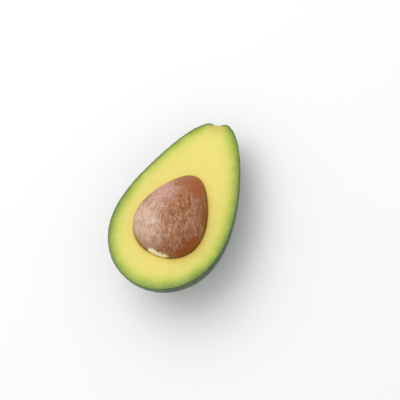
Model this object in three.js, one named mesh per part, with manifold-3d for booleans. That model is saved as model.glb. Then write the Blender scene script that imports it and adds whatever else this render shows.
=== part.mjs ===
// Half an avocado with its pit, as cut, resting on its back on a small flat spot.
// Millimetres. +Z is up, +Y points to the stem end, and the cut face looks up and a little towards +Y.
// The origin is the middle of the flat spot that the skin rests on.
import * as THREE from "three";
import { mergeVertices } from "three/addons/utils/BufferGeometryUtils.js";
import Module from "manifold-3d";

// ---- Driving dimensions ----
const FRUIT_LENGTH = 105; // butt to stem tip, before the stem dimple
const FRUIT_WIDTH = 67; // across the belly, skin included
const FRUIT_TAPER = 0.35; // how much fuller the butt is than the neck
const FRUIT_ROUNDING = -0.1; // rounds both ends off again
const PEEL_THICKNESS = 0.9;
const STEM_DIMPLE_RADIUS = 6;
const STEM_DIMPLE_DEPTH = 2.2;
const STEM_SCAR_RADIUS = 2.4; // the bare spot in the dimple where the stem broke off

const PIT_LENGTH = 50;
const PIT_WIDTH = 40;
const PIT_TAPER = 0.35;
const PIT_TOWARDS_BUTT = 8; // from the fruit's middle to the pit's middle

const FIT_GAP = 0.3; // clearance between touching pieces
const REST_TILT = THREE.MathUtils.degToRad(9); // the heavy belly lets the stem end sink this far
const REST_SPOT_DEPTH = 0.6; // how far the belly flattens where it rests

const RINGS = 30; // steps along a profile
const RING_CROWDING = 1.3; // above 1, the steps get shorter towards the stem
const FRUIT_SIDES = 40;
const PIT_SIDES = 28;
const SCAR_SIDES = 16;

const FLESH_INSET = PEEL_THICKNESS + FIT_GAP;

const wasm = await Module();
wasm.setup();

// ---- Profiles ----

// Half width of a pear or egg curve at angle t, from the butt at 0 to the stem at pi.
const fullness = (t, taper, rounding) =>
  Math.sin(t) * (1 + taper * Math.cos(t) + rounding * Math.cos(t) ** 3);

// Steps along a curve and gives the t where measure(t) is largest.
function whereLargest(measure) {
  const steps = 720;
  let best = 0;
  for (let i = 1; i <= steps; i++) {
    const t = (Math.PI * i) / steps;
    if (measure(t) > measure(best)) best = t;
  }
  return best;
}

// A curve as a function of t that gives (radius, height along the axis).
function pearCurve({ length, width, taper, rounding, dimple }) {
  const widest = whereLargest((t) => fullness(t, taper, rounding));
  const scale = width / 2 / fullness(widest, taper, rounding);
  return (t) => {
    const radius = Math.max(scale * fullness(t, taper, rounding), 0);
    const height = (-length / 2) * Math.cos(t);
    const inDimple = dimple && t > Math.PI / 2 && radius < dimple.radius;
    const sunk = inDimple ? (dimple.depth / 2) * (1 + Math.cos((Math.PI * radius) / dimple.radius)) : 0;
    return new THREE.Vector2(radius, height - sunk);
  };
}

// Points along a curve for a lathe, each moved in by inset along its normal.
function profile(curve, inset) {
  const nudge = 1e-4;
  const points = [new THREE.Vector2(0, curve(0).y + inset)];
  for (let i = 1; i < RINGS; i++) {
    const t = Math.PI * (1 - (1 - i / RINGS) ** RING_CROWDING);
    const along = curve(t + nudge).sub(curve(t - nudge)).normalize();
    const inward = new THREE.Vector2(-along.y, along.x);
    points.push(curve(t).addScaledVector(inward, inset));
  }
  points.push(new THREE.Vector2(0, curve(Math.PI).y - inset));
  return points;
}

const fruitCurve = pearCurve({
  length: FRUIT_LENGTH,
  width: FRUIT_WIDTH,
  taper: FRUIT_TAPER,
  rounding: FRUIT_ROUNDING,
  dimple: { radius: STEM_DIMPLE_RADIUS, depth: STEM_DIMPLE_DEPTH },
});
const pitCurve = pearCurve({ length: PIT_LENGTH, width: PIT_WIDTH, taper: PIT_TAPER, rounding: 0 });

// ---- Solids, in the fruit's own frame: its axis is Y and it is cut at Z = 0, facing +Z ----

// A closed geometry as a manifold solid, with its shared vertices merged.
function toSolid(geometry) {
  const bare = geometry.clone();
  bare.deleteAttribute("normal");
  bare.deleteAttribute("uv");
  const merged = mergeVertices(bare, 1e-4);
  const vertProperties = merged.attributes.position.array;
  const triVerts = new Uint32Array(merged.index.array);
  return new wasm.Manifold(new wasm.Mesh({ numProp: 3, vertProperties, triVerts }));
}

function toGeometry(solid) {
  const mesh = solid.getMesh();
  const geometry = new THREE.BufferGeometry();
  geometry.setAttribute("position", new THREE.BufferAttribute(mesh.vertProperties, 3));
  geometry.setIndex(new THREE.BufferAttribute(mesh.triVerts, 1));
  geometry.computeVertexNormals();
  return geometry;
}

// A box wider than the fruit, with its underside on Z = 0.
function wideBlock() {
  const span = 2 * (FRUIT_LENGTH + FRUIT_WIDTH);
  return new THREE.BoxGeometry(span, span, span).translate(0, 0, span / 2);
}

// How far a point of the underside lies below the fruit's middle once the fruit is tilted.
const depthOf = (point) => point.x * Math.cos(REST_TILT) + point.y * Math.sin(REST_TILT);

// The point of the underside that touches first, as (radius, height along the axis).
const touchPoint = fruitCurve(whereLargest((t) => depthOf(fruitCurve(t))));
const MIDDLE_HEIGHT = depthOf(touchPoint) - REST_SPOT_DEPTH;
const TOUCH_Y = touchPoint.y * Math.cos(REST_TILT) - touchPoint.x * Math.sin(REST_TILT);

// Everything more than inset above the surface that the tilted fruit rests on.
const aboveRest = (inset) =>
  toSolid(wideBlock().translate(0, 0, inset - MIDDLE_HEIGHT).rotateX(REST_TILT));

const belowCut = toSolid(wideBlock().rotateX(Math.PI));

// The whole fruit with its surface moved in by inset, its belly flat where it rests.
function fruit(inset) {
  const lathe = new THREE.LatheGeometry(profile(fruitCurve, inset), FRUIT_SIDES, Math.PI / 2);
  return toSolid(lathe).intersect(aboveRest(inset));
}

// The whole pit with its surface moved out by gap.
function pitBody(gap) {
  const lathe = new THREE.LatheGeometry(profile(pitCurve, -gap), PIT_SIDES, Math.PI / 2);
  return toSolid(lathe.translate(0, -PIT_TOWARDS_BUTT, 0));
}

// The skin: a thin shell, open at the cut and at the stem scar.
function peel() {
  const scar = new THREE.CylinderGeometry(STEM_SCAR_RADIUS, STEM_SCAR_RADIUS, FRUIT_LENGTH, SCAR_SIDES);
  scar.translate(0, FRUIT_LENGTH / 2, 0);
  return fruit(0).subtract(fruit(PEEL_THICKNESS)).subtract(toSolid(scar)).intersect(belowCut);
}

// The flesh: what fills the skin, less the hollow that the pit grew in.
const flesh = () => fruit(FLESH_INSET).intersect(belowCut).subtract(pitBody(FIT_GAP));

// The pit: one whole egg-shaped seed, half sunk in the flesh.
const pit = () => pitBody(0);

// ---- Scene graph ----

const finishes = {
  peel: { color: 0x2c4a24, roughness: 0.45, metalness: 0 },
  flesh: { color: 0xe2dc74, roughness: 0.5, metalness: 0 },
  pit: { color: 0xa8745a, roughness: 0.65, metalness: 0 },
};

function node(name, solid) {
  const mesh = new THREE.Mesh(toGeometry(solid), new THREE.MeshStandardMaterial(finishes[name]));
  mesh.name = name;
  return mesh;
}

const avocadoHalf = new THREE.Group();
avocadoHalf.name = "avocado_half";
avocadoHalf.rotation.x = -REST_TILT;
avocadoHalf.position.set(0, -TOUCH_Y, MIDDLE_HEIGHT);
avocadoHalf.add(node("peel", peel()), node("flesh", flesh()), node("pit", pit()));

export default avocadoHalf;
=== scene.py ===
import math

import bmesh
import bpy
import numpy as np
from mathutils import Matrix, Vector


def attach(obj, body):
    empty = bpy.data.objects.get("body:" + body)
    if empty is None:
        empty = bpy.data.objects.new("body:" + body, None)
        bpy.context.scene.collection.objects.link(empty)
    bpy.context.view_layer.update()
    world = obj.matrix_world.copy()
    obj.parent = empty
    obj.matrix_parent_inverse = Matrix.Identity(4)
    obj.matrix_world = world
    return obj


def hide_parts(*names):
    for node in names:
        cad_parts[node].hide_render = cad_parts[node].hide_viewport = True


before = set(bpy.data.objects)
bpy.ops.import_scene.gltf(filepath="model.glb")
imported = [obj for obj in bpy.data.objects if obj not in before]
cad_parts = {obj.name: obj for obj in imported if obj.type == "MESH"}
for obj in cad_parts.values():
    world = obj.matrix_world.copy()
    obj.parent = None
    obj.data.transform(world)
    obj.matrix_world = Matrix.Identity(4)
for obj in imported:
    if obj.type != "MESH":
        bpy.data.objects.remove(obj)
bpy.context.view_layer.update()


# ---- The skin ----
# One thin, tough, pebbled shell that grew in one piece, cut clean through with a knife.
# The half lies on its back with the stem end low, and the skin stops at the scar of the stalk.

MM = 0.001
FRUIT_LENGTH = 105 * MM
FRUIT_WIDTH = 67 * MM
FRUIT_TAPER = 0.35
FRUIT_ROUNDING = -0.1
STEM_DIMPLE_RADIUS = 6 * MM
STEM_DIMPLE_DEPTH = 2.2 * MM
STEM_SCAR_RADIUS = 2.4 * MM
SKIN_THICKNESS = 0.9 * MM
REST_TILT = math.radians(9)

SKIN_ROWS = 280  # from the butt to the stem scar
SKIN_COLUMNS = 264  # round the back, from one cut edge to the other
LINING_COLUMNS = 24  # the hidden inner face needs far fewer

PEBBLE_SIZE = 1.7 * MM
PEBBLE_HEIGHT = 0.19 * MM
SWELL_SIZE = 14 * MM
SWELL_HEIGHT = 0.35 * MM
LENTICEL_SPACING = 1.9 * MM
LENTICEL_SIZE = 0.16 * MM
LENTICEL_TRIES = 90000.0  # for each square metre, before those too close are dropped
LENTICEL_SEED = 4

TIP_GAP = 0.004  # how far short of a tip the rows stop, in radians along the curve
WIDEST_SAMPLES = 721  # points tried in the search for where a curve is widest
LENGTH_SAMPLES = 4000  # points that a curve's length is measured with
SHARP_EDGE = math.radians(50)  # edges that turn by more than this, as at the cut, look sharp
SCAR_TINT_START = 2 * MM  # the brown round the scar is full here and gone at the end
SCAR_TINT_END = 7 * MM


def smoothstep(value, start, end):
    share = np.clip((value - start) / (end - start), 0, 1)
    return share * share * (3 - 2 * share)


def pear_curve(t, length, width, taper, rounding):
    """Radius and height of a pear or egg curve, from the butt at t = 0 to the stem at t = pi."""

    def fullness(at):
        return np.sin(at) * (1 + taper * np.cos(at) + rounding * np.cos(at) ** 3)

    widest = fullness(np.linspace(0, math.pi, WIDEST_SAMPLES)).max()
    radius = np.maximum(width / 2 * fullness(t) / widest, 0)
    return np.stack([radius, -length / 2 * np.cos(t)], axis=-1)


def fruit_curve(t):
    """The fruit's outline, with the dimple that the stalk grew from."""
    curve = pear_curve(t, FRUIT_LENGTH, FRUIT_WIDTH, FRUIT_TAPER, FRUIT_ROUNDING)
    radius = curve[..., 0]
    in_dimple = (t > math.pi / 2) & (radius < STEM_DIMPLE_RADIUS)
    sunk = STEM_DIMPLE_DEPTH / 2 * (1 + np.cos(math.pi * radius / STEM_DIMPLE_RADIUS))
    curve[..., 1] -= np.where(in_dimple, sunk, 0)
    return curve


def outward_of(curve, t):
    """The outward direction of a curve at t, as (radius part, height part)."""
    nudge = 1e-4
    along = curve(t + nudge) - curve(t - nudge)
    along /= np.linalg.norm(along, axis=-1, keepdims=True)
    return np.stack([along[..., 1], -along[..., 0]], axis=-1)


def even_steps(curve, start, end, count):
    """The values of t that cut the curve between start and end into count equal lengths."""
    fine = np.linspace(start, end, LENGTH_SAMPLES)
    lengths = np.linalg.norm(np.diff(curve(fine), axis=0), axis=1)
    travelled = np.concatenate([[0], np.cumsum(lengths)])
    return np.interp(np.linspace(0, travelled[-1], count + 1), travelled, fine)


def leaned(points):
    """The stem end of the fruit, which grew a little to one side, with one shoulder fuller."""
    lean_from = 10 * MM
    lean_across = -4.3 * MM
    shoulder_rise = 0.3
    x, y, z = points.T
    near_stem = smoothstep(y, lean_from, FRUIT_LENGTH / 2)
    return np.stack([x + lean_across * near_stem, y + shoulder_rise * x * near_stem, z], axis=1)


# The cut edge at the butt is the highest point of the skin, which gives the fruit's place.
fruit_turn = Matrix.Rotation(-REST_TILT, 3, "X")
turn = np.array(fruit_turn)
skin_vertices = [vertex.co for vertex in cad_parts["peel"].data.vertices]
highest = np.array(max(skin_vertices, key=lambda co: co.z))
fruit_middle = highest - turn @ np.array([0, -FRUIT_LENGTH / 2, 0])


def laid_down(points, floor_gap):
    """Points of the fruit as it lies, flattened where they would come nearer the floor than floor_gap."""
    placed = points @ turn.T + fruit_middle
    placed[:, 2] = np.maximum(placed[:, 2], floor_gap)
    return placed


def lathed(profile, columns):
    """Half a turn of a profile below the cut, row by row, from the right cut edge to the left one."""
    angle = np.linspace(0, math.pi, columns + 1)
    radius = profile[:, :1]
    height = np.repeat(profile[:, 1:], columns + 1, axis=1)
    return np.stack([radius * np.cos(angle), height, -radius * np.sin(angle)], axis=-1)


def grid_faces(rows, columns, first):
    """The quads of a grid of rows by columns of vertices whose first vertex has the number first."""
    corner = first + np.arange((rows - 1) * columns).reshape(rows - 1, columns)[:, :-1].ravel()
    return np.stack([corner, corner + 1, corner + columns + 1, corner + columns], axis=1).tolist()


def new_piece(name, points, faces):
    """A closed, smooth mesh object at the origin, with its faces pointing out."""
    mesh = bpy.data.meshes.new(name)
    mesh.from_pydata(np.asarray(points).tolist(), [], faces)
    solid = bmesh.new()
    solid.from_mesh(mesh)
    bmesh.ops.recalc_face_normals(solid, faces=solid.faces)
    solid.to_mesh(mesh)
    solid.free()
    mesh.shade_smooth()
    piece = bpy.data.objects.new(name, mesh)
    bpy.context.scene.collection.objects.link(piece)
    return piece


def store(piece, name, values):
    """Keeps one number or one vector for each vertex, for the nodes to read."""
    values = np.asarray(values, dtype=np.float32)
    is_vector = values.ndim == 2
    kept = piece.data.attributes.new(name, "FLOAT_VECTOR" if is_vector else "FLOAT", "POINT")
    kept.data.foreach_set("vector" if is_vector else "value", values.ravel())


def add(tree, kind, inputs=None, **settings):
    """Adds a node. Each input is a value, or a socket to link from."""
    made = tree.nodes.new(kind)
    for name, value in settings.items():
        setattr(made, name, value)
    for key, value in (inputs or {}).items():
        if isinstance(value, bpy.types.NodeSocket):
            tree.links.new(value, made.inputs[key])
        else:
            made.inputs[key].default_value = value
    return made


def maths(tree, operation, first, second=0.0):
    return add(tree, "ShaderNodeMath", {0: first, 1: second}, operation=operation).outputs[0]


def vector_maths(tree, operation, first, second):
    made = add(tree, "ShaderNodeVectorMath", {0: first, 1: second}, operation=operation)
    return made.outputs["Value" if operation == "DISTANCE" else "Vector"]


def scaled(tree, vector, factor):
    made = add(tree, "ShaderNodeVectorMath", {0: vector, "Scale": factor}, operation="SCALE")
    return made.outputs["Vector"]


def ranged(tree, value, low, high, to_low=0.0, to_high=1.0):
    """A soft step from to_low, where value is low, to to_high, where it is high."""
    inputs = {"Value": value, "From Min": low, "From Max": high, "To Min": to_low, "To Max": to_high}
    return add(tree, "ShaderNodeMapRange", inputs, interpolation_type="SMOOTHSTEP").outputs["Result"]


def noise_node(tree, place, size, detail, roughness):
    inputs = {"Vector": place, "Scale": 1 / size, "Detail": detail, "Roughness": roughness}
    return add(tree, "ShaderNodeTexNoise", inputs)


def noise(tree, place, size, detail=2.0, roughness=0.5):
    """A random number for each place, mostly near 0.5, that changes over about size."""
    return noise_node(tree, place, size, detail, roughness).outputs["Fac"]


def wandered(tree, place, size, reach):
    """place, pushed about by noise of the given size, by less than reach."""
    pushes = noise_node(tree, place, size, detail=2.0, roughness=0.5).outputs["Color"]
    push = vector_maths(tree, "SUBTRACT", pushes, (0.5, 0.5, 0.5))
    return vector_maths(tree, "ADD", place, scaled(tree, push, 2 * reach))


def in_units(tree, place, size):
    """place divided by size, which may be a value or a socket."""
    each_way = add(tree, "ShaderNodeCombineXYZ", {axis: size for axis in "XYZ"}).outputs[0]
    return vector_maths(tree, "DIVIDE", place, each_way)


def named(tree, name, data_type="FLOAT"):
    """A stored attribute, inside a geometry tree."""
    made = add(tree, "GeometryNodeInputNamedAttribute", {"Name": name}, data_type=data_type)
    return made.outputs["Attribute"]


def stored(tree, name):
    """A stored number, inside a material."""
    return add(tree, "ShaderNodeAttribute", attribute_name=name).outputs["Fac"]


def mixed(tree, share, first, second):
    made = add(tree, "ShaderNodeMix", {0: share, 6: first, 7: second}, data_type="RGBA")
    return made.outputs[2]


def ramp(tree, value, stops):
    """A colour for each value. stops is [(value from 0 to 1, colour), ...]."""
    made = add(tree, "ShaderNodeValToRGB", {"Fac": value})
    elements = made.color_ramp.elements
    while len(elements) < len(stops):
        elements.new(1.0)
    for element, (position, colour) in zip(elements, stops):
        element.position = position
        element.color = (*colour, 1)
    return made.outputs["Color"]


def new_material(name, **finish):
    """A material with one Principled shader, whose even values are set on its own sockets."""
    material = bpy.data.materials.new(name)
    material.use_nodes = True
    shader = material.node_tree.nodes["Principled BSDF"]
    for socket, value in finish.items():
        shader.inputs[socket.replace("_", " ")].default_value = value
    return material, material.node_tree, shader


def bumped(tree, shader, height, distance, strength=1.0):
    bump = add(tree, "ShaderNodeBump", {"Height": height, "Distance": distance, "Strength": strength})
    tree.links.new(bump.outputs["Normal"], shader.inputs["Normal"])


def new_geometry_tree(name, sizes):
    """An empty geometry tree with a named input for each size, and its group input and output."""
    tree = bpy.data.node_groups.new(name, "GeometryNodeTree")
    tree.interface.new_socket("Geometry", in_out="INPUT", socket_type="NodeSocketGeometry")
    for label, kind in sizes.items():
        tree.interface.new_socket(label, in_out="INPUT", socket_type=kind)
    tree.interface.new_socket("Geometry", in_out="OUTPUT", socket_type="NodeSocketGeometry")
    return tree, tree.nodes.new("NodeGroupInput").outputs, tree.nodes.new("NodeGroupOutput").inputs


def kept(tree, geometry, name, value):
    """The geometry, with one number stored for each of its points."""
    made = add(
        tree, "GeometryNodeStoreNamedAttribute", {"Geometry": geometry, "Name": name, "Value": value},
        data_type="FLOAT", domain="POINT",
    )
    return made.outputs[0]


def grow(piece, tree, values):
    """Runs a geometry tree on a piece and keeps the result as its plain mesh."""
    modifier = piece.modifiers.new(tree.name, "NODES")
    modifier.node_group = tree
    for item in tree.interface.items_tree:
        if item.in_out == "INPUT" and item.name in values:
            modifier[item.identifier] = values[item.name]
    evaluated = piece.evaluated_get(bpy.context.evaluated_depsgraph_get())
    mesh = bpy.data.meshes.new_from_object(evaluated)
    piece.modifiers.remove(modifier)
    while None in list(mesh.materials):
        mesh.materials.pop(index=list(mesh.materials).index(None))
    piece.data = mesh


# The outer face and the hidden lining are two half lathes, joined along the cut and at the scar.
dense = np.linspace(math.pi / 2, math.pi, LENGTH_SAMPLES)
scar_start = dense[np.argmax(fruit_curve(dense)[:, 0] < STEM_SCAR_RADIUS)]
skin_t = even_steps(fruit_curve, TIP_GAP, scar_start, SKIN_ROWS)
skin_profile = fruit_curve(skin_t)
skin_outward = outward_of(fruit_curve, skin_t)
outer = lathed(skin_profile, SKIN_COLUMNS)
lining = lathed(skin_profile - SKIN_THICKNESS * skin_outward, LINING_COLUMNS)
outer_directions = lathed(skin_outward, SKIN_COLUMNS)

outer_points = laid_down(leaned(outer.reshape(-1, 3)), 0)
lining_points = laid_down(leaned(lining.reshape(-1, 3)), SKIN_THICKNESS)
rows = SKIN_ROWS + 1
first_lining = len(outer_points)
skin_faces = grid_faces(rows, SKIN_COLUMNS + 1, 0)
skin_faces += grid_faces(rows, LINING_COLUMNS + 1, first_lining)


def outer_at(row, column):
    return row * (SKIN_COLUMNS + 1) + column


def lining_at(row, column):
    return first_lining + row * (LINING_COLUMNS + 1) + column


# The cut edge, on both sides.
for column, lining_column in ((0, 0), (SKIN_COLUMNS, LINING_COLUMNS)):
    for row in range(SKIN_ROWS):
        ends = [outer_at(row, column), outer_at(row + 1, column)]
        skin_faces.append(ends + [lining_at(row + 1, lining_column), lining_at(row, lining_column)])

# The edge round the scar, and the tip of the butt: each lining step meets several outer ones.
steps_each = SKIN_COLUMNS // LINING_COLUMNS
for row in (0, SKIN_ROWS):
    for step in range(LINING_COLUMNS):
        edge = [outer_at(row, step * steps_each + k) for k in range(steps_each + 1)]
        skin_faces.append(edge + [lining_at(row, step + 1), lining_at(row, step)])

skin = new_piece("avocado_skin", np.concatenate([outer_points, lining_points]), skin_faces)
lining_zeros = np.zeros(len(lining_points))
lining_still = np.zeros((len(lining_points), 3))
scar_middle = [0, skin_profile[-1, 1], 0]
distance_to_scar = np.linalg.norm(outer.reshape(-1, 3) - scar_middle, axis=1)
by_scar = smoothstep(-distance_to_scar, -SCAR_TINT_END, -SCAR_TINT_START)
store(skin, "outside", np.concatenate([np.ones(len(outer_points)), lining_zeros]))
store(skin, "by_scar", np.concatenate([by_scar, lining_zeros]))
# The relief moves the outer face along this, and leaves the lining where it is.
store(skin, "outward", np.concatenate([outer_directions.reshape(-1, 3) @ turn.T, lining_still]))


def make_skin_material():
    """Waxy dark green, paler on the pebbles, with corky specks and a bright green inner edge."""
    pebble_greens = [
        (0.00, (0.008, 0.025, 0.004)),
        (0.55, (0.024, 0.066, 0.010)),
        (1.00, (0.055, 0.125, 0.020)),
    ]
    cut_greens = [
        (0.00, (0.200, 0.300, 0.020)),
        (0.50, (0.130, 0.210, 0.016)),
        (0.85, (0.040, 0.078, 0.008)),
    ]
    blotch_green = (0.050, 0.095, 0.020, 1)
    fleck_green = (0.150, 0.230, 0.075, 1)
    speck_green = (0.130, 0.200, 0.050, 1)
    scar_brown = (0.190, 0.140, 0.045, 1)
    material, tree, shader = new_material(
        "waxy_green_skin", Coat_Weight=0.04, Coat_Roughness=0.3, Specular_IOR_Level=0.32
    )
    place = add(tree, "ShaderNodeTexCoord").outputs["Object"]
    green = ramp(tree, stored(tree, "pebble"), pebble_greens)
    blotches = ranged(tree, noise(tree, place, 11 * MM, 3), 0.38, 0.66)
    green = mixed(tree, maths(tree, "MULTIPLY", blotches, 0.55), green, blotch_green)
    flecks = ranged(tree, noise(tree, place, 0.7 * MM, 1), 0.60, 0.74, 0, 0.35)
    green = mixed(tree, flecks, green, fleck_green)
    green = mixed(tree, stored(tree, "lenticel"), green, speck_green)
    green = mixed(tree, maths(tree, "MULTIPLY", stored(tree, "by_scar"), 0.7), green, scar_brown)
    cut_edge = ramp(tree, stored(tree, "outside"), cut_greens)
    on_cut = ranged(tree, stored(tree, "outside"), 0.999, 0.97)
    tree.links.new(mixed(tree, on_cut, green, cut_edge), shader.inputs["Base Color"])
    sheen = ranged(tree, noise(tree, place, 3 * MM, 3), 0.3, 0.7, 0.34, 0.5)
    tree.links.new(sheen, shader.inputs["Roughness"])
    grain = noise(tree, place, 0.5 * MM, 3)
    bumped(tree, shader, grain, 0.1 * MM, 0.6)
    return material


def make_skin_tree():
    """Pebbles, slow swells and scattered corky specks on the outer face."""
    sizes = {
        "Pebble Size": "NodeSocketFloat",
        "Pebble Height": "NodeSocketFloat",
        "Swell Size": "NodeSocketFloat",
        "Swell Height": "NodeSocketFloat",
        "Lenticel Spacing": "NodeSocketFloat",
        "Lenticel Size": "NodeSocketFloat",
        "Lenticel Tries": "NodeSocketFloat",
        "Seed": "NodeSocketInt",
        "Skin": "NodeSocketMaterial",
    }
    tree, given, result = new_geometry_tree("skin_pebbles", sizes)
    place = add(tree, "GeometryNodeInputPosition").outputs[0]
    per_pebble = in_units(tree, wandered(tree, place, size=4 * MM, reach=0.5 * MM), given["Pebble Size"])
    cells = add(
        tree, "ShaderNodeTexVoronoi", {"Vector": per_pebble, "Scale": 1.0, "Smoothness": 0.35},
        feature="SMOOTH_F1",
    )
    pebble = ranged(tree, cells.outputs["Distance"], 0.75, 0.10)
    swell = maths(tree, "SUBTRACT", noise(tree, in_units(tree, place, given["Swell Size"]), 1.0, 1), 0.5)
    rise = maths(
        tree, "ADD",
        maths(tree, "MULTIPLY", maths(tree, "SUBTRACT", pebble, 0.5), given["Pebble Height"]),
        maths(tree, "MULTIPLY", swell, given["Swell Height"]),
    )
    outward = named(tree, "outward", "FLOAT_VECTOR")
    raised = add(
        tree, "GeometryNodeSetPosition",
        {"Geometry": given["Geometry"], "Offset": scaled(tree, outward, rise)},
    )
    coloured = kept(tree, raised.outputs[0], "pebble", pebble)
    outside = maths(tree, "GREATER_THAN", named(tree, "outside"), 0.99)
    scattered = add(
        tree, "GeometryNodeDistributePointsOnFaces",
        {
            "Mesh": coloured, "Selection": outside, "Distance Min": given["Lenticel Spacing"],
            "Density Max": given["Lenticel Tries"], "Seed": given["Seed"],
        },
        distribute_method="POISSON",
    )
    speck = add(
        tree, "GeometryNodeMeshIcoSphere", {"Radius": given["Lenticel Size"], "Subdivisions": 1}
    )
    spread = add(
        tree, "FunctionNodeRandomValue",
        {"Min": (0.5, 0.5, 0.2), "Max": (1.1, 1.1, 0.4), "Seed": given["Seed"]},
        data_type="FLOAT_VECTOR",
    )
    specks = add(
        tree, "GeometryNodeInstanceOnPoints",
        {
            "Points": scattered.outputs["Points"], "Instance": speck.outputs["Mesh"],
            "Rotation": scattered.outputs["Rotation"], "Scale": spread.outputs["Value"],
        },
    )
    real_specks = add(tree, "GeometryNodeRealizeInstances", {0: specks.outputs[0]}).outputs[0]
    marked = kept(tree, kept(tree, real_specks, "lenticel", 1.0), "outside", 1.0)
    joined = add(tree, "GeometryNodeJoinGeometry")
    tree.links.new(coloured, joined.inputs[0])
    tree.links.new(marked, joined.inputs[0])
    # Nothing reaches below the floor.
    parts = add(tree, "ShaderNodeSeparateXYZ", {0: place}).outputs
    above_floor = maths(tree, "MAXIMUM", parts["Z"], 0.0)
    above = add(tree, "ShaderNodeCombineXYZ", {"X": parts["X"], "Y": parts["Y"], "Z": above_floor})
    rested = add(
        tree, "GeometryNodeSetPosition", {"Geometry": joined.outputs[0], "Position": above.outputs[0]}
    )
    whole = add(tree, "GeometryNodeRealizeInstances", {0: rested.outputs[0]})
    finished = add(
        tree, "GeometryNodeSetMaterial", {"Geometry": whole.outputs[0], "Material": given["Skin"]}
    )
    tree.links.new(finished.outputs[0], result[0])
    return tree


grow(
    skin,
    make_skin_tree(),
    {
        "Pebble Size": PEBBLE_SIZE,
        "Pebble Height": PEBBLE_HEIGHT,
        "Swell Size": SWELL_SIZE,
        "Swell Height": SWELL_HEIGHT,
        "Lenticel Spacing": LENTICEL_SPACING,
        "Lenticel Size": LENTICEL_SIZE,
        "Lenticel Tries": LENTICEL_TRIES,
        "Seed": LENTICEL_SEED,
        "Skin": make_skin_material(),
    },
)
skin.data.set_sharp_from_angle(angle=SHARP_EDGE)
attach(skin, "root")
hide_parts("peel")


# ---- The flesh ----
# Soft, moist flesh that fills the skin, green under the skin and warm yellow round the pit.
# The knife left its face flat, and its hollow has the shape of the pit that it grew round.

PIT_LENGTH = 50 * MM
PIT_WIDTH = 40 * MM
PIT_TAPER = 0.35
PIT_TOWARDS_BUTT = 8 * MM
HOLLOW_GAP = 0.12 * MM
SKIN_GAP = 0.02 * MM
STEM_END_DEPTH = 0.15 * MM  # the flesh comes this near the surface inside the scar
STEM_END_RADIUS = 0.8 * STEM_SCAR_RADIUS  # from here out to the scar's rim it dips under the skin
TIP_RADIUS = 0.02 * MM  # keeps the rows from meeting in a point at the tips

FLESH_ROWS = 280
FLESH_WALL_COLUMNS = LINING_COLUMNS  # so that its facets match those of the skin's lining
FACE_RINGS = 64
HOLLOW_RINGS = 24
PIT_SIDE_SAMPLES = 2000

LIP_DEPTH = 0.4 * MM  # the edge of the hollow is rounded over
LIP_WIDTH = 0.45 * MM
EDGE_DEPTH = 0.1 * MM  # the flesh draws back a little from the cut skin
EDGE_WIDTH = 0.4 * MM
WAVE_HEIGHT = 0.07 * MM  # low waves that the knife left on the face
BAND_THINNER = 1.5 * MM  # how much the green band loses on the left towards the stem
BAND_THICKER = 0.45 * MM  # and how much it gains at the butt on the right
HIDDEN_DEPTH = 20 * MM  # hidden faces take the colour of flesh this far from the skin or the pit


def flesh_inset(t):
    """The flesh lies one skin thickness in, and comes to the surface at the stem scar."""
    radius = fruit_curve(t)[:, 0]
    under_skin = smoothstep(radius, STEM_END_RADIUS, STEM_SCAR_RADIUS)
    under_skin[t < math.pi / 2] = 1
    return STEM_END_DEPTH + (SKIN_THICKNESS + SKIN_GAP - STEM_END_DEPTH) * under_skin


def pit_curve(t):
    return pear_curve(t, PIT_LENGTH, PIT_WIDTH, PIT_TAPER, 0)


flesh_t = even_steps(fruit_curve, TIP_GAP, math.pi - TIP_GAP, FLESH_ROWS)
flesh_profile = fruit_curve(flesh_t) - flesh_inset(flesh_t)[:, None] * outward_of(fruit_curve, flesh_t)
flesh_profile[:, 0] = np.maximum(flesh_profile[:, 0], TIP_RADIUS)
wall = lathed(flesh_profile, FLESH_WALL_COLUMNS)

# The outline of the face runs up the right side and back down the left side.
outline = np.concatenate([wall[:, 0], wall[::-1, -1]])[:, :2]
around = len(outline)
pit_middle = np.array([0, -PIT_TOWARDS_BUTT])
bearing = np.arctan2(*(outline - pit_middle).T[::-1])

# The edge of the hollow, at the same bearing from the pit's middle as each point of the outline.
pit_side = pit_curve(np.linspace(0, math.pi, PIT_SIDE_SAMPLES))
pit_outline = np.concatenate([pit_side, pit_side[::-1] * [-1, 1]])
pit_bearing = np.arctan2(pit_outline[:, 1], pit_outline[:, 0])
order = np.argsort(pit_bearing)
pit_reach = np.interp(
    bearing, pit_bearing[order], np.linalg.norm(pit_outline, axis=1)[order], period=2 * math.pi
)
hollow_edge = pit_middle + (pit_reach + HOLLOW_GAP)[:, None] * np.stack(
    [np.cos(bearing), np.sin(bearing)], axis=1
)


def nearest(points, line):
    """The distance from each point to the nearest point of a line."""
    return np.linalg.norm(points[:, None] - line[None], axis=2).min(axis=1)


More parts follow.
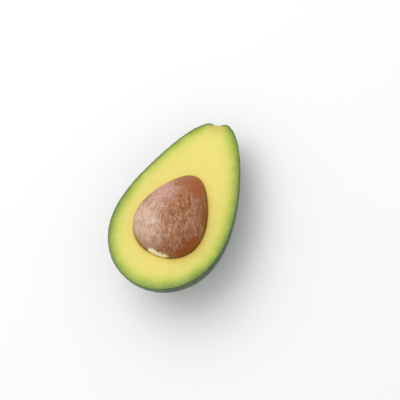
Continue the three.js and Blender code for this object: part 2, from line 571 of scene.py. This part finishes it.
face_points, skin_depths, pit_distances = [], [], []
for ring in range(FACE_RINGS + 1):
    share = 0.5 - 0.5 * math.cos(math.pi * ring / FACE_RINGS)
    flat = (1 - share) * outline + share * hollow_edge
    from_skin = nearest(flat, outline)
    from_pit = np.linalg.norm(flat - hollow_edge, axis=1)
    x, y = flat.T
    wave_across = np.sin(x / (6 * MM) + 1.3 * np.sin(y / (17 * MM)))
    wave_along = np.sin(y / (9 * MM) + 0.7)
    settled = smoothstep(from_skin, 0, 3 * MM) * smoothstep(from_pit, 0, 2 * MM)
    height = WAVE_HEIGHT * wave_across * wave_along * settled
    height -= LIP_DEPTH * np.exp(-from_pit / LIP_WIDTH)
    # The outline itself, ring 0, stays level with the cut skin.
    height -= EDGE_DEPTH * np.exp(-from_skin / EDGE_WIDTH) * (ring > 0)
    face_points.append(np.stack([x, y, height], axis=1))
    # The green band is thin on the left towards the stem, and thick at the butt on the right.
    thinner = smoothstep(-x, 4 * MM, 22 * MM) * smoothstep(y, -12 * MM, 12 * MM)
    thicker = smoothstep(x, -10 * MM, 10 * MM) * smoothstep(-y, 20 * MM, 38 * MM)
    skin_depths.append(from_skin + BAND_THINNER * thinner - BAND_THICKER * thicker)
    pit_distances.append(from_pit)

# The hollow goes down from its edge to the lowest point under the pit's middle.
hollow_points = []
hollow_heights = pit_side[:, 1] * (1 + 2 * HOLLOW_GAP / PIT_LENGTH) - PIT_TOWARDS_BUTT
for ring in range(1, HOLLOW_RINGS + 1):
    share = math.cos(math.pi / 2 * ring / (HOLLOW_RINGS + 1))
    flat = pit_middle + share * (hollow_edge - pit_middle)
    radius_there = np.interp(flat[:, 1], hollow_heights, pit_side[:, 0]) + HOLLOW_GAP
    depth = np.sqrt(np.maximum(radius_there**2 - flat[:, 0] ** 2, LIP_DEPTH**2))
    hollow_points.append(np.stack([flat[:, 0], flat[:, 1], -depth], axis=1))

hollow_depth = np.interp(pit_middle[1], hollow_heights, pit_side[:, 0]) + HOLLOW_GAP
hollow_bottom = [*pit_middle, -hollow_depth]
ring_points = np.concatenate([*face_points, *hollow_points, [hollow_bottom]])
ring_count = FACE_RINGS + 1 + HOLLOW_RINGS
flesh_faces = []
for ring in range(ring_count - 1):
    for step in range(around):
        following = (step + 1) % around
        flesh_faces.append(
            [
                ring * around + step,
                ring * around + following,
                (ring + 1) * around + following,
                (ring + 1) * around + step,
            ]
        )
last_ring = (ring_count - 1) * around
for step in range(around):
    flesh_faces.append([last_ring + step, last_ring + (step + 1) % around, ring_count * around])

# The wall against the skin shares the outline's vertices on both sides.
inner_wall = wall[:, 1:-1]
first_wall = len(ring_points)
wall_columns = FLESH_WALL_COLUMNS + 1


def wall_at(row, column):
    if column == 0:
        return row
    if column == FLESH_WALL_COLUMNS:
        return around - 1 - row
    return first_wall + row * (wall_columns - 2) + column - 1


for row in range(FLESH_ROWS):
    for column in range(FLESH_WALL_COLUMNS):
        corners = [(row, column), (row, column + 1), (row + 1, column + 1), (row + 1, column)]
        flesh_faces.append([wall_at(*corner) for corner in corners])
for row in (0, FLESH_ROWS):
    flesh_faces.append([wall_at(row, column) for column in range(wall_columns)])

wall_points = inner_wall.reshape(-1, 3)
flesh_points = np.concatenate([ring_points, wall_points])
flesh = new_piece("avocado_flesh", laid_down(leaned(flesh_points), SKIN_THICKNESS + SKIN_GAP), flesh_faces)
hollow_count = HOLLOW_RINGS * around + 1
store(
    flesh,
    "skin_depth",
    np.concatenate([*skin_depths, np.full(hollow_count, HIDDEN_DEPTH), np.zeros(len(wall_points))]) / MM,
)
store(
    flesh,
    "pit_distance",
    np.concatenate([*pit_distances, np.zeros(hollow_count), np.full(len(wall_points), HIDDEN_DEPTH)]) / MM,
)
stem_tip = np.array([0, flesh_profile[-1, 1], 0])
store(flesh, "stem_distance", np.linalg.norm(flesh_points - stem_tip, axis=1) / MM)


def make_flesh_material():
    """Moist flesh: green under the skin, then pale yellow, then warm yellow round the pit."""
    colour_reach = 12.0  # millimetres under the skin that the depth colours span
    depth_colours = [
        (0.00, (0.150, 0.235, 0.012)),
        (0.09, (0.225, 0.320, 0.016)),
        (0.18, (0.335, 0.415, 0.024)),
        (0.28, (0.445, 0.495, 0.042)),
        (0.42, (0.582, 0.572, 0.084)),
        (0.62, (0.678, 0.618, 0.122)),
        (1.00, (0.738, 0.634, 0.132)),
    ]
    warm_yellow = (0.760, 0.590, 0.100, 1)
    pit_stain_and_shade = (0.340, 0.190, 0.045, 1)
    stem_tan = (0.700, 0.520, 0.110, 1)
    cloud_cream = (0.820, 0.750, 0.210, 1)
    fibre_green = (0.500, 0.480, 0.060, 1)
    material, tree, shader = new_material(
        "moist_flesh",
        Subsurface_Weight=0.18,
        Subsurface_Scale=2.2 * MM,
        Coat_Weight=0.10,
        Coat_Roughness=0.28,
        Specular_IOR_Level=0.42,
    )
    shader.inputs["Subsurface Radius"].default_value = (1.0, 0.8, 0.3)
    place = add(tree, "ShaderNodeTexCoord").outputs["Object"]
    unevenness = maths(tree, "SUBTRACT", noise(tree, place, 9 * MM, 3), 0.5)
    depth = maths(tree, "ADD", stored(tree, "skin_depth"), maths(tree, "MULTIPLY", unevenness, 1.6))
    colour = ramp(tree, maths(tree, "DIVIDE", depth, colour_reach), depth_colours)
    from_pit = stored(tree, "pit_distance")
    colour = mixed(tree, ranged(tree, from_pit, 6.0, 0.0, 0.0, 0.55), colour, warm_yellow)
    # Within 0.9 mm of the pit the flesh turns brown: partly a real brown ring, partly painted shade at the
    # join with the pit.
    colour = mixed(tree, ranged(tree, from_pit, 0.9, 0.0, 0.0, 0.60), colour, pit_stain_and_shade)
    near_stem = ranged(tree, stored(tree, "stem_distance"), 9.0, 1.5, 0.0, 0.6)
    colour = mixed(tree, near_stem, colour, stem_tan)
    clouds = ranged(tree, noise(tree, place, 5 * MM, 4), 0.35, 0.7, 0.0, 0.12)
    colour = mixed(tree, clouds, colour, cloud_cream)
    lengthwise = vector_maths(tree, "MULTIPLY", place, (1.0, 0.22, 1.0))
    fibres = ranged(tree, noise(tree, lengthwise, 1.1 * MM, 3), 0.50, 0.72, 0.0, 0.16)
    colour = mixed(tree, fibres, colour, fibre_green)
    tree.links.new(colour, shader.inputs["Base Color"])
    wetness = ranged(tree, noise(tree, place, 7 * MM, 3), 0.35, 0.7, 0.38, 0.52)
    tree.links.new(wetness, shader.inputs["Roughness"])
    grain = noise(tree, place, 0.6 * MM, 3)
    bumped(tree, shader, grain, 0.05 * MM, 0.5)
    return material


flesh.data.materials.append(make_flesh_material())
flesh.data.set_sharp_from_angle(angle=SHARP_EDGE)
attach(flesh, "root")
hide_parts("flesh")


# ---- The pit ----
# One hard seed in a thin papery coat, webbed with pale threads where it fed from the flesh.
# It only rests in its hollow, so it can be lifted out.

PIT_ROWS = 260
PIT_COLUMNS = 340
STRAND_SPACING = 1.9  # in millimetres, as the pit's own places are
NET_SPACING = 1.5
THREAD_HEIGHT = 0.10 * MM
PIT_SWELL = 0.5 * MM
COAT_RADIUS = 17 * MM  # about the pit's mean radius

UPRIGHT_LEAN = 0.18  # how far a strand winds round for each step along
MIDDLE_LEAN = 0.45
FAR_LEAN = 0.72

pit_t = even_steps(pit_curve, 0, math.pi, PIT_ROWS)[1:-1]
pit_profile = pit_curve(pit_t)
pit_angle = np.linspace(0, 2 * math.pi, PIT_COLUMNS, endpoint=False)
pit_radius = pit_profile[:, :1]
pit_height = np.repeat(pit_profile[:, 1:], PIT_COLUMNS, axis=1) - PIT_TOWARDS_BUTT
pit_rings = np.stack([pit_radius * np.cos(pit_angle), pit_height, pit_radius * np.sin(pit_angle)], axis=-1)
pit_ends = np.array(
    [[0, -PIT_LENGTH / 2 - PIT_TOWARDS_BUTT, 0], [0, PIT_LENGTH / 2 - PIT_TOWARDS_BUTT, 0]]
)
pit_points = np.concatenate([pit_rings.reshape(-1, 3), pit_ends])
ring_total = len(pit_t)
base_tip, apex_tip = ring_total * PIT_COLUMNS, ring_total * PIT_COLUMNS + 1
pit_faces = []
for step in range(PIT_COLUMNS):
    following = (step + 1) % PIT_COLUMNS
    pit_faces.append([base_tip, step, following])
    last = (ring_total - 1) * PIT_COLUMNS
    pit_faces.append([apex_tip, last + following, last + step])
    for ring in range(ring_total - 1):
        low, high = ring * PIT_COLUMNS, (ring + 1) * PIT_COLUMNS
        pit_faces.append([low + step, low + following, high + following, high + step])
pit = new_piece("avocado_pit", laid_down(leaned(pit_points), 0), pit_faces)
# Where each point lies in the fruit, in millimetres: X across, Y to the stem, Z out of the cut.
store(pit, "in_fruit", pit_points / MM)

# Where it lies on the coat: round a cylinder about as wide as the pit, and along it from tip to tip.
coat_length = np.linalg.norm(np.diff(pit_side, axis=0), axis=1).sum()
along_coat = (np.arange(1, PIT_ROWS) / PIT_ROWS - 0.5) * coat_length
coat_rings = np.stack(
    np.broadcast_arrays(
        COAT_RADIUS * np.cos(pit_angle), along_coat[:, None], COAT_RADIUS * np.sin(pit_angle)
    ),
    axis=-1,
)
coat_ends = np.array([[0, -coat_length / 2, 0], [0, coat_length / 2, 0]])
store(pit, "on_coat", np.concatenate([coat_rings.reshape(-1, 3), coat_ends]) / MM)


def drawn_out(tree, place, spacing, stretch, lean):
    """A place on the coat in units of spacing, drawn out from tip to tip and winding round by lean."""
    along = add(tree, "ShaderNodeSeparateXYZ", {0: place}).outputs["Y"]
    winding = maths(tree, "MULTIPLY", along, lean / (COAT_RADIUS / MM))
    turned = add(
        tree, "ShaderNodeVectorRotate", {"Vector": place, "Axis": (0.0, 1.0, 0.0), "Angle": winding}
    )
    per_thread = add(
        tree, "ShaderNodeCombineXYZ",
        {"X": spacing, "Y": maths(tree, "MULTIPLY", spacing, stretch), "Z": spacing},
    )
    return vector_maths(tree, "DIVIDE", turned.outputs[0], per_thread.outputs[0])


def wisps(tree, drawn, width):
    """Loose threads, where noise crosses its middle. It gives 1 on a thread and 0 between."""
    level = maths(tree, "SUBTRACT", noise(tree, drawn, 1.0, 0), 0.5)
    return ranged(tree, maths(tree, "ABSOLUTE", level), width, 0.0)


def slim_net(tree, drawn, width):
    """Threads along the borders of slim cells. It gives 1 on a thread and 0 between."""
    cells = add(tree, "ShaderNodeTexVoronoi", {"Vector": drawn, "Scale": 1.0}, feature="DISTANCE_TO_EDGE")
    return ranged(tree, cells.outputs["Distance"], width, 0.0)


def coat_threads(tree, place, strand_spacing, net_spacing):
    """Long strands that lean two ways and cross, worn away in places, over a net of slim cells."""
    bent = wandered(tree, place, size=7.0, reach=1.6)
    close_spacing = maths(tree, "MULTIPLY", strand_spacing, 0.8)
    upright = drawn_out(tree, bent, strand_spacing, stretch=7.0, lean=UPRIGHT_LEAN)
    leaning = drawn_out(tree, bent, close_spacing, stretch=6.0, lean=FAR_LEAN)
    strands = maths(tree, "MAXIMUM", wisps(tree, upright, width=0.040), wisps(tree, leaning, width=0.040))
    crinkled = wandered(tree, bent, size=1.8, reach=0.5)
    net = slim_net(tree, drawn_out(tree, crinkled, net_spacing, stretch=2.8, lean=MIDDLE_LEAN), width=0.09)
    worn = noise(tree, drawn_out(tree, place, strand_spacing, stretch=2.6, lean=MIDDLE_LEAN), 1.0, 2)
    strand_wear = ranged(tree, worn, 0.36, 0.56, 0.15, 1.0)
    net_wear = ranged(tree, noise(tree, place, 3.4, 3), 0.40, 0.58, 0.15, 1.0)
    return maths(tree, "MULTIPLY", strands, strand_wear), maths(tree, "MULTIPLY", net, net_wear)


def make_pit_material():
    """A brown papery coat with pale threads, powdery on one side and bare and redder on the other."""
    paper_browns = [
        (0.30, (0.185, 0.050, 0.017)),
        (0.50, (0.305, 0.106, 0.042)),
        (0.70, (0.380, 0.166, 0.080)),
    ]
    powder_tan = (0.610, 0.405, 0.305, 1)
    pale_pink_and_highlight = (0.555, 0.330, 0.275, 1)
    bare_red = (0.275, 0.058, 0.010, 1)
    side_brown = (0.270, 0.086, 0.012, 1)
    apex_red = (0.345, 0.088, 0.028, 1)
    brown_thread = (0.600, 0.385, 0.250, 1)
    pale_thread = (0.790, 0.610, 0.480, 1)
    pore_brown = (0.170, 0.060, 0.025, 1)
    torn_cream = (0.980, 0.890, 0.610, 1)
    torn_middle = (2.2, -32.7, 2.2)
    torn_shape = (0.165, 0.30, 0.235)  # one over its reach each way, in millimetres
    material, tree, shader = new_material("papery_brown_coat", Specular_IOR_Level=0.18)
    place = add(tree, "ShaderNodeAttribute", attribute_name="in_fruit").outputs["Vector"]
    on_coat = add(tree, "ShaderNodeAttribute", attribute_name="on_coat").outputs["Vector"]
    strands, net = coat_threads(tree, on_coat, STRAND_SPACING, NET_SPACING)
    ragged = wandered(tree, wandered(tree, place, size=6.0, reach=6.0), size=1.6, reach=4.0)

    def zone(centre, near, far):
        """1 within near of a place on the pit, fading to 0 at far, with a ragged edge."""
        return ranged(tree, vector_maths(tree, "DISTANCE", ragged, centre), far, near)

    def share_of(value, share):
        return maths(tree, "MULTIPLY", value, share)

    patchy = ranged(tree, noise(tree, place, 3.2, 4), 0.34, 0.62, 0.62, 1.0)
    powder = share_of(zone((-9.0, -23.0, 14.0), near=7.0, far=19.0), patchy)
    # The pale pink on the upper left is partly the coat's own pink, partly a painted highlight on the side
    # towards the lamp.
    pink_and_highlight_zone = share_of(zone((-8.0, -3.0, 13.0), near=3.5, far=13.5), patchy)
    bare = zone((18.0, -23.5, 2.0), near=7.0, far=12.0)
    side = zone((17.0, -3.0, 3.0), near=3.0, far=10.0)
    apex = zone((6.5, 11.0, 7.5), near=2.5, far=14.0)
    paper = ramp(tree, noise(tree, place, 4.5, 5, 0.62), paper_browns)
    paper = mixed(tree, share_of(powder, 0.9), paper, powder_tan)
    paper = mixed(tree, share_of(pink_and_highlight_zone, 0.85), paper, pale_pink_and_highlight)
    paper = mixed(tree, share_of(bare, 0.9), paper, bare_red)
    paper = mixed(tree, share_of(side, 0.85), paper, side_brown)
    paper = mixed(tree, share_of(apex, 0.9), paper, apex_red)

    # The smooth zones have hardly any threads or pores.
    smooth = maths(tree, "MAXIMUM", apex, share_of(pink_and_highlight_zone, 0.75))
    bare_or_side = share_of(maths(tree, "MAXIMUM", bare, side), 0.9)
    uncovered = maths(tree, "MAXIMUM", bare_or_side, share_of(smooth, 0.9))
    covered = maths(tree, "SUBTRACT", 1.0, uncovered)
    # Threads are paler in the powder and in the pink zone, which is partly painted highlight.
    thread = mixed(tree, maths(tree, "MAXIMUM", powder, pink_and_highlight_zone), brown_thread, pale_thread)
    colour = mixed(tree, share_of(share_of(net, 0.62), covered), paper, thread)
    colour = mixed(tree, share_of(share_of(strands, 0.68), covered), colour, thread)
    pores = ranged(tree, noise(tree, place, 0.8, 3), 0.44, 0.30, 0.0, 0.55)
    colour = mixed(tree, share_of(pores, covered), colour, pore_brown)

    # At the base the coat is torn, and the pale seed shows.
    frayed = wandered(tree, wandered(tree, place, size=3.5, reach=4.0), size=1.0, reach=1.2)
    from_torn = vector_maths(tree, "SUBTRACT", frayed, torn_middle)
    torn_reach = add(
        tree, "ShaderNodeVectorMath", {0: vector_maths(tree, "MULTIPLY", from_torn, torn_shape)},
        operation="LENGTH",
    )
    torn = ranged(tree, torn_reach.outputs["Value"], 1.15, 0.80)
    tree.links.new(mixed(tree, torn, colour, torn_cream), shader.inputs["Base Color"])
    dryness = ranged(tree, maths(tree, "MAXIMUM", bare, apex), 0.0, 1.0, 0.62, 0.40)
    tree.links.new(dryness, shader.inputs["Roughness"])
    fuzz = noise(tree, place, 0.5, 3)
    relief = maths(tree, "ADD", share_of(net, 0.4), share_of(fuzz, 0.6))
    bumped(tree, shader, relief, 0.08 * MM, 0.8)
    return material


def make_pit_tree():
    """Slow swells and the raised threads of the coat, on the part of the pit above the cut."""
    sizes = {
        "Strand Spacing": "NodeSocketFloat",
        "Net Spacing": "NodeSocketFloat",
        "Thread Height": "NodeSocketFloat",
        "Swell": "NodeSocketFloat",
        "Coat": "NodeSocketMaterial",
    }
    tree, given, result = new_geometry_tree("coat_threads", sizes)
    place = named(tree, "in_fruit", "FLOAT_VECTOR")
    on_coat = named(tree, "on_coat", "FLOAT_VECTOR")
    strands, net = coat_threads(tree, on_coat, given["Strand Spacing"], given["Net Spacing"])
    threads = maths(tree, "MAXIMUM", strands, maths(tree, "MULTIPLY", net, 0.5))
    swell = maths(tree, "SUBTRACT", noise(tree, place, 16.0, 1), 0.5)
    rise = maths(
        tree, "ADD",
        maths(tree, "MULTIPLY", threads, given["Thread Height"]),
        maths(tree, "MULTIPLY", swell, given["Swell"]),
    )
    # Below the cut the pit keeps the plain shape of its hollow.
    out_of_cut = add(tree, "ShaderNodeSeparateXYZ", {0: place}).outputs["Z"]
    shown_rise = maths(tree, "MULTIPLY", rise, ranged(tree, out_of_cut, 0.0, 2.0))
    normal = add(tree, "GeometryNodeInputNormal").outputs[0]
    raised = add(
        tree, "GeometryNodeSetPosition",
        {"Geometry": given["Geometry"], "Offset": scaled(tree, normal, shown_rise)},
    )
    whole = add(tree, "GeometryNodeRealizeInstances", {0: raised.outputs[0]})
    finished = add(
        tree, "GeometryNodeSetMaterial", {"Geometry": whole.outputs[0], "Material": given["Coat"]}
    )
    tree.links.new(finished.outputs[0], result[0])
    return tree


grow(
    pit,
    make_pit_tree(),
    {
        "Strand Spacing": STRAND_SPACING,
        "Net Spacing": NET_SPACING,
        "Thread Height": THREAD_HEIGHT,
        "Swell": PIT_SWELL,
        "Coat": make_pit_material(),
    },
)
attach(pit, "root")
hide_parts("pit")


# ---- The floor, the light and the camera ----
# A plain white floor under a large soft lamp, with the camera looking down on the cut face.
# The camera stands off square to the face, on the butt side and to the right.

FLOOR_SIZE = 6.0
FLOOR_WHITE = 0.86
half_floor = FLOOR_SIZE / 2
floor_corners = [(-1, -1), (1, -1), (1, 1), (-1, 1)]
floor = new_piece("floor", [(half_floor * x, half_floor * y, 0) for x, y in floor_corners], [[0, 1, 2, 3]])
floor_colour = (FLOOR_WHITE, FLOOR_WHITE, FLOOR_WHITE, 1)
floor_material, _, _ = new_material("white_floor", Base_Color=floor_colour, Roughness=0.7)
floor.data.materials.append(floor_material)

OFF_SQUARE = math.radians(25)
TOWARDS_BUTT = math.radians(50)
CAMERA_ROLL = math.radians(-23.9)
CAMERA_DISTANCE = 0.723
CAMERA_LENS = 117.45
MIDDLE_LEFT_OF_FRAME = 10.0 * MM
MIDDLE_BELOW_FRAME = 1.8 * MM

face_out = Vector((0, 0, 1))
back = Vector(
    (
        math.sin(TOWARDS_BUTT) * math.sin(OFF_SQUARE),
        -math.cos(TOWARDS_BUTT) * math.sin(OFF_SQUARE),
        math.cos(OFF_SQUARE),
    )
)
level = face_out.cross(back).normalized()
upright = back.cross(level)
picture_right = math.cos(CAMERA_ROLL) * level + math.sin(CAMERA_ROLL) * upright
picture_up = -math.sin(CAMERA_ROLL) * level + math.cos(CAMERA_ROLL) * upright
back, picture_right, picture_up = (fruit_turn @ axis for axis in (back, picture_right, picture_up))
middle = Vector(fruit_middle)

camera_data = bpy.data.cameras.new("camera")
camera_data.lens = CAMERA_LENS
camera = bpy.data.objects.new("camera", camera_data)
bpy.context.scene.collection.objects.link(camera)
camera_turn = Matrix((picture_right, picture_up, back)).transposed().to_4x4()
stand = middle + CAMERA_DISTANCE * back
stand += MIDDLE_LEFT_OF_FRAME * picture_right
stand += MIDDLE_BELOW_FRAME * picture_up
camera.matrix_world = Matrix.Translation(stand) @ camera_turn
bpy.context.scene.camera = camera


KEY_DISTANCE = 0.9
KEY_SIZE = 0.8
KEY_POWER = 4.15
KEY_LEFT = 0.55  # how far it hangs each way from the fruit, before scaling to its distance
KEY_UP = 0.65
KEY_OUT = 0.9
STUDIO_BRIGHTNESS = 0.78

# The lamp hangs over the face, up and to the left of the camera.
key_towards = (-KEY_LEFT * picture_right + KEY_UP * picture_up + KEY_OUT * back).normalized()
key_data = bpy.data.lights.new("key", "AREA")
key_data.size = KEY_SIZE
key_data.energy = KEY_POWER
key_lamp = bpy.data.objects.new("key", key_data)
bpy.context.scene.collection.objects.link(key_lamp)
key_lamp.location = middle + KEY_DISTANCE * key_towards
key_lamp.rotation_mode = "QUATERNION"
key_lamp.rotation_quaternion = key_towards.to_track_quat("Z", "Y")

world = bpy.data.worlds.new("studio")
world.use_nodes = True
studio = world.node_tree.nodes["Background"]
studio.inputs["Color"].default_value = (1, 1, 1, 1)
studio.inputs["Strength"].default_value = STUDIO_BRIGHTNESS
bpy.context.scene.world = world
bpy.context.scene.view_settings.view_transform = "Standard"
